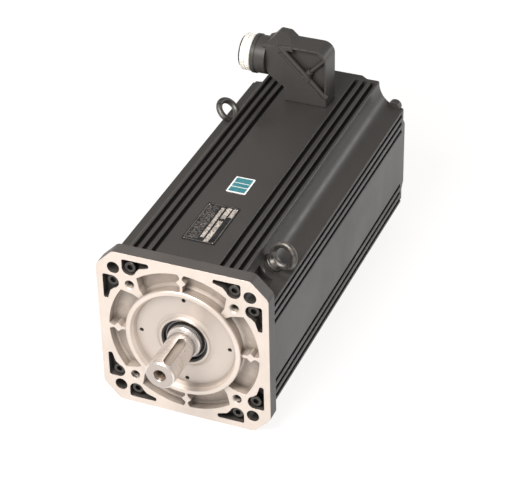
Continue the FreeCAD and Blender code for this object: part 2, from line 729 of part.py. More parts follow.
def connector_base_screws():
    screws = []
    for x, y in base_screw_places():
        shank = bar(2.0, V(x, y, BODY_HALF - 5.5), V(x, y, 100))
        head = bar(3.6, V(x, y, 100), V(x, y, 103.2))
        socket = bar(1.5, V(x, y, 101.4), V(x, y, 105))
        screws.append(join([shank, head]).cut(socket))
    return group(screws)


def connector_gasket():
    sheet = block(-23.5, 26.5, CON_FRONT + 0.5, CON_REAR - 0.5, BODY_HALF, CON_BASE_Z)
    holes = [bar(2.0, V(x, y, 90), V(x, y, 100)) for x, y in base_screw_places()]
    return sheet.cut(holes + [bar(CON_HOLE_R, V(CON_HOLE_X, CON_MID, 90), V(CON_HOLE_X, CON_MID, 100))])


def contact_places():
    ring = [(7.2 * math.cos(math.radians(90 * i + 45)), 7.2 * math.sin(math.radians(90 * i + 45)))
            for i in range(4)]
    return [(CON_MID + a, CON_Z + b) for a, b in ring]


def connector_insert():
    insert = across(NOSE_BORE_R, INSERT_FRONT, -52)
    holes = [across(1.8, INSERT_FRONT - 1, -51, y, z) for y, z in contact_places()]
    key = across(2.2, INSERT_FRONT - 1, INSERT_FRONT + 3)
    return insert.cut(holes + [key])


def connector_pins():
    pins = []
    for y, z in contact_places():
        pin = join([across(1.3, -75, INSERT_FRONT, y, z), across(1.8, INSERT_FRONT, -48, y, z)])
        pins.append(pin)
    return group(pins)


def coupling_ring():
    ring = across(RING_R, BARREL_END - 0.5, NOSE_END + 2.6)
    ends = [e for e in ring.Edges if e.Closed and len(e.Vertexes) == 1]
    ring = ring.makeChamfer(0.8, ends)
    flutes = []
    for i in range(30):
        angle = math.radians(12 * i)
        y = CON_MID + (RING_R + 0.5) * math.cos(angle)
        z = CON_Z + (RING_R + 0.5) * math.sin(angle)
        flutes.append(across(1.1, BARREL_END - 3.0, NOSE_END + 5.6, y, z))
    waist = across(RING_R + 2, -71.2, -70.2).cut(across(RING_R - 1.2, -72, -69))
    bore = across(NOSE_R + 0.1, BARREL_END + 1, NOSE_END)
    return ring.cut(flutes + [waist, bore])


def power_leads():
    """Phase and earth leads from the end turns through the rear end shield to the contacts."""
    leads = []
    for y, z in contact_places():
        across_row = math.copysign(LEAD_PITCH, z - CON_Z)
        along_row = math.copysign(LEAD_PITCH, CON_MID - y)
        x_up = CON_HOLE_X + across_row
        y_up = CON_MID - along_row
        z_in = LEAD_Z + along_row
        path = [V(across_row, STACK[1] + END_TURN_L + 0.1, z_in), V(x_up, y_up, z_in),
                V(x_up, y_up, 122), V(-32, y, z), V(-48, y, z)]
        spine = rounded(path, [0, 12, 14, 14, 0], False)
        section = Part.Wire([Part.makeCircle(LEAD_R, path[0], path[1] - path[0])])
        leads.append(spine.makePipeShell([section], True, True))
    return group(leads)


os.makedirs("parts", exist_ok=True)
save("front_end_shield", front_end_shield())
save("flange_screws", flange_screws())
save("housing_shell", housing_shell())
save("rear_end_shield", rear_end_shield())
save("rear_shield_ring", rear_shield_ring())
save("rear_cover", rear_cover())
save("rear_cover_screws", rear_cover_screws())
save("eye_bolt_front", eye_bolt(*EYE_FRONT))
save("eye_bolt_rear", eye_bolt(*EYE_REAR))
save("name_plate", name_plate())
save("name_plate_rivets", name_plate_rivets())
save("badge", badge())
bearing(FRONT_BEARING, "front_bearing")
bearing(REAR_BEARING, "rear_bearing")
save("bearing_retainer", bearing_retainer())
save("retainer_screws", retainer_screws())
save("wave_spring", wave_spring())
save("shaft", shaft())
save("shaft_seal", shaft_seal())
save("seal_spring", seal_spring())
save("rotor_core", rotor_core())
save("rotor_magnets", rotor_magnets())
save("rotor_sleeve", rotor_sleeve())
save("rotor_end_rings", rotor_end_rings())
save("stator_core", stator_core())
save("stator_windings", stator_windings())
save("slot_liners", slot_liners())
save("slot_wedges", slot_wedges())
save("encoder_housing", encoder_housing())
save("encoder_screws", encoder_screws())
save("encoder_hub", encoder_hub())
save("encoder_disc", encoder_disc())
save("encoder_board", encoder_board())
save("connector_body", connector_body())
save("connector_cover", connector_cover())
save("connector_gasket", connector_gasket())
save("connector_base_screws", connector_base_screws())
save("connector_cover_screws", connector_cover_screws())
save("connector_insert", connector_insert())
save("connector_pins", connector_pins())
save("coupling_ring", coupling_ring())
save("power_leads", power_leads())
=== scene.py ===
import json
import math

import bpy
from mathutils import Matrix, Vector


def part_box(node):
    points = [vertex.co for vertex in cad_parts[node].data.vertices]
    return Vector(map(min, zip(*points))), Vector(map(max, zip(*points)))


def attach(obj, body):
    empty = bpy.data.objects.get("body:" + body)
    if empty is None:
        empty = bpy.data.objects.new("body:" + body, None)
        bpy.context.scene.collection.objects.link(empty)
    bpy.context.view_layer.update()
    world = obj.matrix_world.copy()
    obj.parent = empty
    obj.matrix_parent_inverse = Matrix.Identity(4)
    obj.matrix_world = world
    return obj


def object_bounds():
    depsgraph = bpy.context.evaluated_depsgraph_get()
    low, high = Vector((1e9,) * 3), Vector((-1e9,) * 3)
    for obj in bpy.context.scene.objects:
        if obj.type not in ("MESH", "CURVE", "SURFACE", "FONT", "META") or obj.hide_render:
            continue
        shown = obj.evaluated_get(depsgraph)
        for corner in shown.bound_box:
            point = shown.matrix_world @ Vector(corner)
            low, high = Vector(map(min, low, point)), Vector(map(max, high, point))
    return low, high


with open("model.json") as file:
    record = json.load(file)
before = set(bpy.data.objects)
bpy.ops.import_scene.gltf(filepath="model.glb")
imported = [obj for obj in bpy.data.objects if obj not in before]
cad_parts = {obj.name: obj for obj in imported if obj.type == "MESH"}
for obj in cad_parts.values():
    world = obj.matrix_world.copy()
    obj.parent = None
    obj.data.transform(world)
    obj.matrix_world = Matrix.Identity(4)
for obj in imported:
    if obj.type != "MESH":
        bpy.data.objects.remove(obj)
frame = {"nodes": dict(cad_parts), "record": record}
CAD_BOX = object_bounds()
NODES = frame["nodes"]
MOUNTS = {mount["name"]: mount for mount in frame["record"]["mounts"]}
MM = 0.001

# base colours, linear
ALUMINIUM = (0.76, 0.675, 0.61)
CAST = (0.50, 0.44, 0.39)
PAINT = (0.042, 0.0385, 0.036)
CONNECTOR_PAINT = (0.048, 0.045, 0.042)
GROUND_STEEL = (0.84, 0.79, 0.755)
FORGED_STEEL = (0.17, 0.163, 0.155)
WHITE = (1.0, 0.99, 0.98, 1.0)

# end shield: outer radii of the turned disc and of the cast recess, and where each finish starts
TURNED_R = 65.2 * MM
RECESS_R = 85.3 * MM
DISC_Y = 1.0 * MM
RECESS_Y = 0.6 * MM
PAINT_Y = 0.35 * MM

# shaft end: centre hole with its cone, and the keyway
SHAFT_HOLE_R = 5.1 * MM
SHAFT_CONE_R = 8.0 * MM
SHAFT_HOLE_DEPTH = 40 * MM
KEYWAY_R = 15.7 * MM
KEYWAY_END_Y = -11 * MM

# small repeating details
LAMINATION = 0.5 * MM
BOARD_FACE_Y = 359.7 * MM
DISC_TRACK = (24 * MM, 28.5 * MM)
DISC_LINES = 256.0
TAP_THREAD = (1.4 * MM, 14.5 * MM)
TAP_PITCH = 1.5 * MM
SHAFT_PITCH = 1.75 * MM
STEPS_PER_TURN = 24

# studio
FLOOR_REACH = 12.0
FLOOR_GLOW = 0.88
SKY_GLOW = 0.38
CAMERA_AZIMUTH = math.radians(22.831)
CAMERA_ELEVATION = math.radians(34.259)
CAMERA_ROLL = math.radians(-1.26)
CAMERA_AIM = Vector((0.08674, 0.0, 0.14731))
CAMERA_DISTANCE = 1.90183
CAMERA_LENS = 135.25


# ---------------------------------------------------------------- shader building
class Finish:
    """A node material under construction; every pattern is laid out in object space, in metres."""

    def __init__(self, name):
        self.material = bpy.data.materials.new(name)
        self.material.use_nodes = True
        self.tree = self.material.node_tree
        self.surface = self.tree.nodes["Principled BSDF"]
        self.point = self.add("ShaderNodeTexCoord").outputs["Object"]

    def add(self, kind, **settings):
        node = self.tree.nodes.new(kind)
        for key, value in settings.items():
            setattr(node, key, value)
        return node

    def feed(self, socket, value):
        """Link an output to a socket, or set the socket to a number or colour."""
        if isinstance(value, bpy.types.NodeSocket):
            self.tree.links.new(value, socket)
        else:
            socket.default_value = value

    def set(self, **values):
        """Feed the surface shader's sockets, named in lower case with underscores."""
        for key, value in values.items():
            self.feed(self.surface.inputs[key.replace("_", " ").title().replace("Ior", "IOR")], value)

    def math(self, operation, a, b=0.0):
        node = self.add("ShaderNodeMath", operation=operation)
        self.feed(node.inputs[0], a)
        self.feed(node.inputs[1], b)
        return node.outputs[0]

    def axes(self):
        node = self.add("ShaderNodeSeparateXYZ")
        self.feed(node.inputs[0], self.point)
        return node.outputs

    def vector(self, x, y, z):
        node = self.add("ShaderNodeCombineXYZ")
        for socket, value in zip(node.inputs, (x, y, z)):
            self.feed(socket, value)
        return node.outputs[0]

    def noise(self, scale, detail=2.0, roughness=0.5, where=None):
        node = self.add("ShaderNodeTexNoise")
        self.feed(node.inputs["Vector"], where or self.point)
        node.inputs["Scale"].default_value = scale
        node.inputs["Detail"].default_value = detail
        node.inputs["Roughness"].default_value = roughness
        return node.outputs["Fac"]

    def cells(self, scale):
        node = self.add("ShaderNodeTexVoronoi")
        self.feed(node.inputs["Vector"], self.point)
        node.inputs["Scale"].default_value = scale
        return node.outputs["Distance"]

    def span(self, value, low, high, to_low=0.0, to_high=1.0):
        """Value carried from low..high to to_low..to_high, held at the ends."""
        node = self.add("ShaderNodeMapRange", clamp=True)
        for socket, given in zip(node.inputs, (value, low, high, to_low, to_high)):
            self.feed(socket, given)
        return node.outputs[0]

    def between(self, value, low, high):
        """1 where low < value < high, else 0."""
        return self.math("MULTIPLY", self.math("GREATER_THAN", value, low),
                         self.math("LESS_THAN", value, high))

    def mix(self, factor, a, b):
        node = self.add("ShaderNodeMix", data_type="RGBA")
        self.feed(node.inputs["Factor"], factor)
        self.feed(node.inputs[6], a)
        self.feed(node.inputs[7], b)
        return node.outputs[2]

    def blend(self, factor, a, b):
        node = self.add("ShaderNodeMix", data_type="FLOAT")
        self.feed(node.inputs["Factor"], factor)
        self.feed(node.inputs[2], a)
        self.feed(node.inputs[3], b)
        return node.outputs[0]

    def bump(self, height, distance, strength=1.0, normal=None):
        node = self.add("ShaderNodeBump")
        self.feed(node.inputs["Height"], height)
        node.inputs["Distance"].default_value = distance
        self.feed(node.inputs["Strength"], strength)
        if normal is not None:
            self.feed(node.inputs["Normal"], normal)
        return node.outputs[0]

    def rounded(self, radius):
        """Normal with the sharp edges rounded by this radius."""
        node = self.add("ShaderNodeBevel", samples=4)
        node.inputs["Radius"].default_value = radius
        return node.outputs[0]

    def edges(self, rounded_normal):
        """1 on edges and corners, 0 on flat stretches."""
        true_normal = self.add("ShaderNodeNewGeometry").outputs["Normal"]
        dot = self.add("ShaderNodeVectorMath", operation="DOT_PRODUCT")
        self.feed(dot.inputs[0], rounded_normal)
        self.feed(dot.inputs[1], true_normal)
        return self.span(dot.outputs["Value"], 0.985, 0.86)

    def open_sky(self, reach):
        """1 on open faces, towards 0 deep in narrow gaps of the same piece."""
        node = self.add("ShaderNodeAmbientOcclusion", samples=6, only_local=True)
        node.inputs["Distance"].default_value = reach
        return node.outputs["AO"]

    def radius_about(self, x0, z0):
        """Distance from the line through (x0, z0) that runs along Y."""
        x, _, z = self.axes()
        dx = self.math("SUBTRACT", x, x0)
        dz = self.math("SUBTRACT", z, z0)
        return self.math("SQRT", self.math("ADD", self.math("MULTIPLY", dx, dx),
                                           self.math("MULTIPLY", dz, dz)))


def tint(colour, factor):
    """Colour made lighter or darker by a factor, with full alpha."""
    return tuple(c * factor for c in colour[:3]) + (1.0,)


# ---------------------------------------------------------------- finishes
def powder_coat(name, colour, roughness, edge_wear_and_highlight=0.35, grain=1.0):
    """Baked powder paint: orange peel, faint blotches, edges lighter from wear and a painted highlight, and
    painted shade darkening the grooves.
    """
    f = Finish(name)
    gap = f.open_sky(8 * MM)
    soft = f.rounded(0.7 * MM)
    blotch = f.noise(14, 4, 0.55)
    speck = f.noise(1500, 2, 0.6)
    base = f.mix(f.span(blotch, 0.3, 0.7), tint(colour, 0.88), tint(colour, 1.12))
    base = f.mix(f.span(speck, 0.55, 0.75, 0.0, 0.35), base, tint(colour, 1.6))
    # worn paint and a painted highlight: edges and corners drawn much lighter
    worn = f.math("MULTIPLY", f.edges(soft), f.span(f.noise(220, 3), 0.35, 0.65, edge_wear_and_highlight * 0.4, edge_wear_and_highlight))
    base = f.mix(worn, base, tint(colour, 3.2))
    # painted shade: colour goes almost black where the ambient-occlusion test finds a narrow groove
    base = f.mix(f.span(gap, 0.2, 0.8, 0.95, 0.0), base, tint(colour, 0.08))
    peel = f.math("ADD", f.noise(650, 2, 0.6), f.math("MULTIPLY", speck, 0.4))
    coat_rough = f.span(blotch, 0.25, 0.75, roughness - 0.06, roughness + 0.08)
    f.set(base_color=base, specular_ior_level=0.42,
          roughness=f.blend(f.span(gap, 0.25, 0.8), 1.0, coat_rough),
          normal=f.bump(peel, 0.00006 * grain, 0.55, soft))
    return f


def bare_metal(name, colour, roughness, scratch=0.5, scale=400.0, stretch=(1.0, 1.0, 1.0), metallic=1.0):
    """Metal with fine tool marks drawn out along the axes that stretch makes small."""
    f = Finish(name)
    x, y, z = f.axes()
    where = f.vector(f.math("MULTIPLY", x, stretch[0]), f.math("MULTIPLY", y, stretch[1]),
                     f.math("MULTIPLY", z, stretch[2]))
    soft = f.rounded(0.25 * MM)
    marks = f.noise(scale, 3, 0.6, where)
    cloud = f.noise(28, 4, 0.6)
    base = f.mix(f.span(cloud, 0.3, 0.7), tint(colour, 0.86), tint(colour, 1.08))
    base = f.mix(f.span(marks, 0.4, 0.62, 0.25, 0.0), base, tint(colour, 0.55))
    base = f.mix(f.math("MULTIPLY", f.edges(soft), 0.4), base, tint(colour, 1.35))
    f.set(base_color=base, metallic=metallic,
          roughness=f.span(marks, 0.3, 0.7, roughness - 0.07, roughness + 0.1),
          normal=f.bump(marks, 0.00003, scratch, soft))
    return f


def moulded(name, colour, roughness, grain=0.5):
    """Moulded rubber or plastic with a fine skin and paler edges."""
    f = Finish(name)
    soft = f.rounded(0.3 * MM)
    texture = f.noise(1200, 2, 0.6)
    cloud = f.noise(40, 3)
    base = f.mix(f.span(cloud, 0.3, 0.7), tint(colour, 0.85), tint(colour, 1.2))
    base = f.mix(f.math("MULTIPLY", f.edges(soft), 0.3), base, tint(colour, 2.0))
    f.set(base_color=base, roughness=f.span(texture, 0.3, 0.7, roughness - 0.08, roughness + 0.08),
          normal=f.bump(texture, 0.00005, grain, soft))
    return f


def end_shield_finish():
    """Machined front faces with turning marks; as-cast recess; paint on the sides and in the pockets."""
    f = Finish("end_shield_finish")
    _, y, _ = f.axes()
    radius = f.radius_about(0.0, 0.0)
    soft = f.rounded(0.5 * MM)
    rings = f.noise(1.0, 3, 0.7, f.vector(f.math("MULTIPLY", radius, 1500.0), 0.0, 0.0))
    mill = f.noise(1.0, 2, 0.6, f.vector(f.math("MULTIPLY", f.radius_about(0.14, 0.05), 900.0), 0.0, 0.0))
    turned = f.math("LESS_THAN", radius, TURNED_R)
    marks = f.blend(turned, mill, rings)
    sunk = f.math("GREATER_THAN", y, RECESS_Y)
    painted = f.math("MULTIPLY", f.math("GREATER_THAN", radius, RECESS_R),
                     f.math("GREATER_THAN", y, PAINT_Y))
    cast = f.math("MULTIPLY", f.between(radius, TURNED_R, RECESS_R), sunk)
    cloud = f.noise(26, 4, 0.6)
    grain = f.noise(420, 3, 0.65)
    metal = f.mix(f.span(cloud, 0.3, 0.7), tint(ALUMINIUM, 0.93), tint(ALUMINIUM, 1.05))
    metal = f.mix(f.span(marks, 0.42, 0.6, 0.16, 0.0), metal, tint(ALUMINIUM, 0.6))
    rough_cast = f.mix(f.span(f.noise(90, 4, 0.6), 0.3, 0.7), tint(CAST, 0.86), tint(CAST, 1.14))
    rough_cast = f.mix(f.span(grain, 0.35, 0.65, 0.0, 0.25), rough_cast, tint(CAST, 0.7))
    disc = f.math("MULTIPLY", turned, f.math("GREATER_THAN", y, DISC_Y))
    metal = f.mix(f.math("MULTIPLY", disc, 0.75), metal, tint(ALUMINIUM, 0.72))
    metal = f.mix(cast, metal, rough_cast)
    # painted shade: bare metal darkened towards the cast colour where the ambient-occlusion test finds a
    # recess
    metal = f.mix(f.span(f.open_sky(9 * MM), 0.35, 0.9, 0.75, 0.0), metal, tint(CAST, 0.35))
    # painted light: the body's paint drawn 1.4 to 1.9 times lighter on the end shield's sides
    paint = f.mix(f.span(f.noise(18, 4), 0.3, 0.7), tint(PAINT, 1.4), tint(PAINT, 1.9))
    # painted shade: painted surfaces go almost black deep in the pockets and holes, where the
    # ambient-occlusion test finds them closed in
    pocket_shade = f.math("MULTIPLY", f.open_sky(16 * MM), painted)
    paint = f.mix(f.span(pocket_shade, 0.3, 0.8, 0.7, 0.0), paint, (0.022, 0.019, 0.014, 1.0))
    chips = f.math("MULTIPLY", f.edges(soft), f.span(f.noise(300, 3), 0.4, 0.6))
    paint = f.mix(f.math("MULTIPLY", chips, 0.5), paint, tint(CAST, 1.0))
    height = f.blend(cast, f.math("MULTIPLY", marks, 0.5), grain)
    height = f.blend(painted, height, f.noise(650, 2, 0.6))
    bare_rough = f.blend(cast, f.span(marks, 0.3, 0.7, 0.36, 0.5), 0.62)
    f.set(base_color=f.mix(painted, metal, paint),
          metallic=f.blend(painted, f.blend(cast, 0.72, 0.5), 0.0),
          roughness=f.blend(painted, bare_rough, 0.48),
          normal=f.bump(height, 0.00006, 0.6, soft))
    return f


def ground_shaft():
    """Ground bearing seats and shaft end: fine circular marks, duller end face, and painted shade on the
    keyway floor, in the centre hole and in gaps.
    """
    low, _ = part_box("shaft")
    f = Finish("ground_shaft")
    _, y, _ = f.axes()
    soft = f.rounded(0.35 * MM)
    rings = f.noise(1.0, 3, 0.7, f.vector(0.0, f.math("MULTIPLY", y, 2600.0), 0.0))
    cloud = f.noise(45, 4, 0.6)
    base = f.mix(f.span(cloud, 0.3, 0.7), tint(GROUND_STEEL, 0.88), tint(GROUND_STEEL, 1.08))
    base = f.mix(f.span(rings, 0.4, 0.6, 0.3, 0.0), base, tint(GROUND_STEEL, 0.55))
    end_face = f.math("LESS_THAN", y, low.y + 0.05 * MM)
    base = f.mix(f.math("MULTIPLY", end_face, 0.8), base, tint(ALUMINIUM, 0.55))
    radius = f.radius_about(0.0, 0.0)
    in_hole = f.math("MULTIPLY", f.math("LESS_THAN", radius, SHAFT_CONE_R),
                     f.between(y, low.y + 0.4 * MM, low.y + SHAFT_HOLE_DEPTH))
    # painted shade: the inside of the centre hole and its cone drawn dark brown
    base = f.mix(f.math("MULTIPLY", in_hole, 0.9), base, (0.10, 0.062, 0.038, 1.0))
    keyway = f.math("MULTIPLY", f.between(radius, SHAFT_CONE_R, KEYWAY_R),
                    f.between(y, low.y + 1.3 * MM, KEYWAY_END_Y))
    # painted shade: the keyway floor drawn darker
    base = f.mix(f.math("MULTIPLY", keyway, 0.55), base, (0.30, 0.265, 0.215, 1.0))
    base = f.mix(f.math("MULTIPLY", f.edges(soft), 0.5), base, tint(GROUND_STEEL, 1.2))
    gap = f.open_sky(11 * MM)
    # painted shade: colour darkened where the ambient-occlusion test finds a narrow gap
    base = f.mix(f.span(gap, 0.25, 0.85, 0.85, 0.0), base, (0.15, 0.125, 0.095, 1.0))
    shine = f.math("MULTIPLY", f.span(gap, 0.3, 0.8, 0.4, 0.75), f.span(in_hole, 0.0, 1.0, 1.0, 0.3))
    f.set(base_color=base, metallic=shine,
          roughness=f.blend(f.span(gap, 0.5, 0.9), 0.5, f.span(rings, 0.3, 0.7, 0.2, 0.32)),
          normal=f.bump(rings, 0.00002, 0.5, soft))
    return f


def forged_steel():
    """Drop-forged surface: scale, small pits, a little rust and worn edges."""
    f = Finish("forged_steel")
    soft = f.rounded(0.4 * MM)
    scale = f.noise(160, 5, 0.65)
    pits = f.span(f.cells(380), 0.0, 0.25)
    base = f.mix(f.span(scale, 0.35, 0.62), tint(FORGED_STEEL, 0.45), tint(FORGED_STEEL, 1.1))
    base = f.mix(f.span(f.noise(420, 2), 0.6, 0.7, 0.0, 0.5), base, (0.16, 0.08, 0.045, 1.0))
    base = f.mix(f.math("MULTIPLY", f.edges(soft), 0.5), base, tint(FORGED_STEEL, 1.8))
    f.set(base_color=base, metallic=0.85, roughness=f.span(scale, 0.3, 0.7, 0.34, 0.58),
          normal=f.bump(f.math("ADD", scale, f.math("MULTIPLY", pits, 0.4)), 0.00025, 0.6, soft))
    return f


def bright_nickel():
    """Pale plated ring with fine turning marks, a duller mouth and a painted brownish reflection underneath.
    """
    low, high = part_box("coupling_ring")
    axis_z = (low.z + high.z) / 2
    f = Finish("bright_nickel")
    x, _, z = f.axes()
    rings = f.noise(1.0, 2, 0.6, f.vector(f.math("MULTIPLY", x, 3000.0), 0.0, 0.0))
    cloud = f.noise(90, 3)
    base = f.mix(f.span(cloud, 0.3, 0.7), (0.86, 0.84, 0.78, 1.0), (0.97, 0.96, 0.90, 1.0))
    mouth = f.span(x, low.x + 0.5 * MM, low.x + 3.0 * MM, 0.3, 0.0)
    base = f.mix(mouth, base, (0.62, 0.58, 0.52, 1.0))
    # painted reflection: a brownish patch on the lower side of the ring
    reflection_below = f.math("MULTIPLY", f.span(z, axis_z, axis_z - 20 * MM),
                     f.span(f.noise(120, 4), 0.4, 0.6))
    base = f.mix(f.math("MULTIPLY", reflection_below, 0.6), base, (0.55, 0.40, 0.30, 1.0))
    f.set(base_color=base, metallic=0.15, roughness=f.span(rings, 0.3, 0.7, 0.42, 0.5),
          normal=f.bump(rings, 0.00001, 0.4))
    return f


def printed_plate():
    """Dark data plate: border line, dark fields and pale filled-in fields, with no lettering."""
    low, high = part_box("name_plate")
    f = Finish("printed_plate")
    x, y, z = f.axes()
    u = f.span(x, low.x, high.x)
    v = f.span(y, low.y, high.y)
    top = f.math("GREATER_THAN", z, high.z - 0.1 * MM)

    def field(u0, u1, v0, v1):
        return f.math("MULTIPLY", f.between(u, u0, u1), f.between(v, v0, v1))

    pale = field(0.47, 0.58, 0.12, 0.93)
    for area in ((0.64, 0.78, 0.03, 0.60), (0.64, 0.78, 0.66, 0.95), (0.83, 0.95, 0.72, 0.95)):
        pale = f.math("MAXIMUM", pale, field(*area))
    ticks = f.noise(1.0, 1, 0.5, f.vector(f.math("MULTIPLY", u, 13.0), f.math("MULTIPLY", v, 60.0), 0.0))
    pale = f.math("MULTIPLY", pale, f.span(ticks, 0.40, 0.50, 0.25, 1.0))
    faint = f.math("MULTIPLY", field(0.07, 0.42, 0.06, 0.94), f.span(ticks, 0.52, 0.6, 0.0, 0.35))
    inner = field(0.035, 0.965, 0.018, 0.982)
    border = f.math("SUBTRACT", inner, field(0.05, 0.95, 0.026, 0.974))
    marks = f.math("MULTIPLY", f.math("MAXIMUM", f.math("MAXIMUM", pale, faint),
                                      f.math("MULTIPLY", border, 0.35)), top)
    rub = f.noise(120, 4, 0.6)
    dark = f.mix(f.span(rub, 0.3, 0.7), (0.006, 0.007, 0.009, 1.0), (0.028, 0.027, 0.027, 1.0))
    light = f.mix(f.span(rub, 0.35, 0.65), (0.42, 0.37, 0.33, 1.0), (0.72, 0.66, 0.60, 1.0))
    soft = f.rounded(0.2 * MM)
    f.set(base_color=f.mix(marks, dark, light), metallic=0.3,
          roughness=f.span(rub, 0.3, 0.7, 0.34, 0.5),
          normal=f.bump(marks, 0.00004, 0.4, soft))
    return f


def printed_badge():
    """Teal film with a white border and two plain white stripes."""
    low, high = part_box("badge")
    f = Finish("printed_badge")
    x, y, _ = f.axes()
    u = f.span(x, low.x, high.x)
    v = f.span(y, low.y, high.y)
    centre = f.math("MULTIPLY", f.between(u, 0.08, 0.92), f.between(v, 0.06, 0.94))
    stripes = f.math("MAXIMUM", f.between(v, 0.345, 0.385), f.between(v, 0.60, 0.64))
    teal_area = f.math("MULTIPLY", centre, f.math("SUBTRACT", 1.0, f.math("MULTIPLY", stripes, 0.8)))
    grain = f.noise(900, 2)
    cloud = f.noise(160, 3)
    teal = f.mix(f.span(cloud, 0.3, 0.7), (0.027, 0.15, 0.19, 1.0), (0.05, 0.24, 0.27, 1.0))
    white = f.mix(f.span(grain, 0.3, 0.7), (0.78, 0.80, 0.80, 1.0), (0.9, 0.9, 0.89, 1.0))
    f.set(base_color=f.mix(teal_area, white, teal), roughness=f.span(cloud, 0.3, 0.7, 0.25, 0.4),
          normal=f.bump(grain, 0.00002, 0.3, f.rounded(0.15 * MM)))
    return f


def laminations():
    """Edges of a stack of thin steel sheets."""
    f = Finish("laminations")
    _, y, _ = f.axes()
    sheets = f.math("SINE", f.math("MULTIPLY", y, 2 * math.pi / LAMINATION))
    cloud = f.noise(60, 4)
    base = f.mix(f.span(cloud, 0.3, 0.7), (0.20, 0.21, 0.24, 1.0), (0.34, 0.35, 0.37, 1.0))
    base = f.mix(f.span(sheets, -1.0, -0.4, 0.6, 0.0), base, (0.05, 0.05, 0.06, 1.0))
    f.set(base_color=base, metallic=0.9, roughness=f.span(cloud, 0.3, 0.7, 0.35, 0.5),
          normal=f.bump(sheets, 0.00008, 0.6))
    return f


def windings():
    """Bundled enamelled copper wire, with varnish in places."""
    f = Finish("windings")
    x, y, z = f.axes()
    strand = f.noise(1.0, 2, 0.6, f.vector(f.math("MULTIPLY", x, 900.0), f.math("MULTIPLY", y, 60.0),
                                          f.math("MULTIPLY", z, 900.0)))
    cloud = f.noise(50, 3)
    base = f.mix(f.span(strand, 0.35, 0.65), (0.16, 0.045, 0.015, 1.0), (0.62, 0.25, 0.09, 1.0))
    base = f.mix(f.span(cloud, 0.4, 0.7, 0.0, 0.4), base, (0.30, 0.16, 0.06, 1.0))
    f.set(base_color=base, metallic=0.6, roughness=f.span(cloud, 0.3, 0.7, 0.25, 0.42),
          normal=f.bump(strand, 0.0004, 0.8))
    return f


def wound_sleeve():
    """Carbon fibre tape wound round the magnets."""
    f = Finish("wound_sleeve")
    x, y, z = f.axes()
    weave = f.noise(1.0, 2, 0.6, f.vector(f.math("MULTIPLY", x, 60.0), f.math("MULTIPLY", y, 1800.0),
                                         f.math("MULTIPLY", z, 60.0)))
    base = f.mix(f.span(weave, 0.35, 0.65), (0.012, 0.012, 0.013, 1.0), (0.06, 0.06, 0.064, 1.0))
    f.set(base_color=base, roughness=f.span(weave, 0.3, 0.7, 0.25, 0.4), normal=f.bump(weave, 0.0001, 0.6))
    return f


def circuit_board():
    """Green board with copper tracks and black parts standing on it."""
    f = Finish("circuit_board")
    x, y, z = f.axes()
    tracks = f.add("ShaderNodeTexBrick")
    f.feed(tracks.inputs["Vector"], f.vector(x, z, 0.0))
    tracks.inputs["Scale"].default_value = 260.0
    tracks.inputs["Mortar Size"].default_value = 0.06
    mask = f.noise(160, 2)
    copper = f.math("MULTIPLY", tracks.outputs["Fac"], f.span(mask, 0.45, 0.55))
    raised = f.math("GREATER_THAN", y, BOARD_FACE_Y)
    green = f.mix(f.span(mask, 0.3, 0.7), (0.01, 0.10, 0.04, 1.0), (0.02, 0.17, 0.07, 1.0))
    base = f.mix(copper, green, (0.08, 0.30, 0.12, 1.0))
    base = f.mix(raised, base, (0.02, 0.02, 0.022, 1.0))
    f.set(base_color=base, roughness=f.span(mask, 0.3, 0.7, 0.25, 0.4), normal=f.bump(copper, 0.0001, 0.5))
    return f


def encoder_glass():
    """Clear disc with a ring of fine dark lines."""
    f = Finish("encoder_glass")
    radius = f.radius_about(0.0, 0.0)
    x, _, z = f.axes()
    angle = f.math("ARCTAN2", x, z)
    lines = f.math("SINE", f.math("MULTIPLY", angle, DISC_LINES))
    track = f.between(radius, *DISC_TRACK)
    dark = f.math("MULTIPLY", track, f.span(lines, -0.05, 0.05))
    haze = f.noise(200, 2)
    f.set(base_color=f.mix(dark, (0.85, 0.9, 0.9, 1.0), (0.03, 0.03, 0.03, 1.0)),
          roughness=f.span(haze, 0.3, 0.7, 0.03, 0.12), alpha=f.blend(dark, 0.35, 1.0))
    return f


FINISHES = {
    "machined_aluminium": end_shield_finish,
    "body_paint": lambda: powder_coat("body_powder_coat", PAINT, 0.37),
    "black_steel": lambda: bare_metal("black_oxide", (0.10, 0.095, 0.09), 0.38, 0.5, 700.0),
    "cast_aluminium": lambda: bare_metal("cast_aluminium", (0.62, 0.60, 0.58), 0.5, 0.7, 300.0,
                                         metallic=0.9),
    "spring_steel": lambda: bare_metal("spring_steel", (0.45, 0.45, 0.46), 0.3, 0.4, 900.0),
    "forged_steel": forged_steel,
    "plate_black": printed_plate,
    "rivet_aluminium": lambda: bare_metal("rivet_aluminium", (0.14, 0.135, 0.13), 0.4, 0.4, 1200.0),
    "badge_film": printed_badge,
    "connector_grey": lambda: powder_coat("connector_paint", CONNECTOR_PAINT, 0.40, 0.5, 0.8),
    "seal_rubber": lambda: moulded("seal_rubber", (0.020, 0.017, 0.015), 0.42),
    "insulator": lambda: moulded("insulator", (0.10, 0.10, 0.105), 0.5),
    "contact_brass": lambda: bare_metal("contact_brass", (0.80, 0.60, 0.28), 0.25, 0.4, 1200.0),
    "lead_insulation": lambda: moulded("lead_insulation", (0.05, 0.05, 0.055), 0.45),
    "lamination_steel": laminations,
    "winding_enamel": windings,
    "bearing_steel": lambda: bare_metal("bearing_steel", (0.72, 0.72, 0.73), 0.14, 0.25, 1500.0),
    "circuit_board": circuit_board,
    "shaft_steel": ground_shaft,
    "magnet_black": lambda: bare_metal("magnet_plating", (0.30, 0.30, 0.32), 0.35, 0.4, 500.0),
    "sleeve_composite": wound_sleeve,
    "encoder_glass": encoder_glass,
    "nickel": bright_nickel,
}


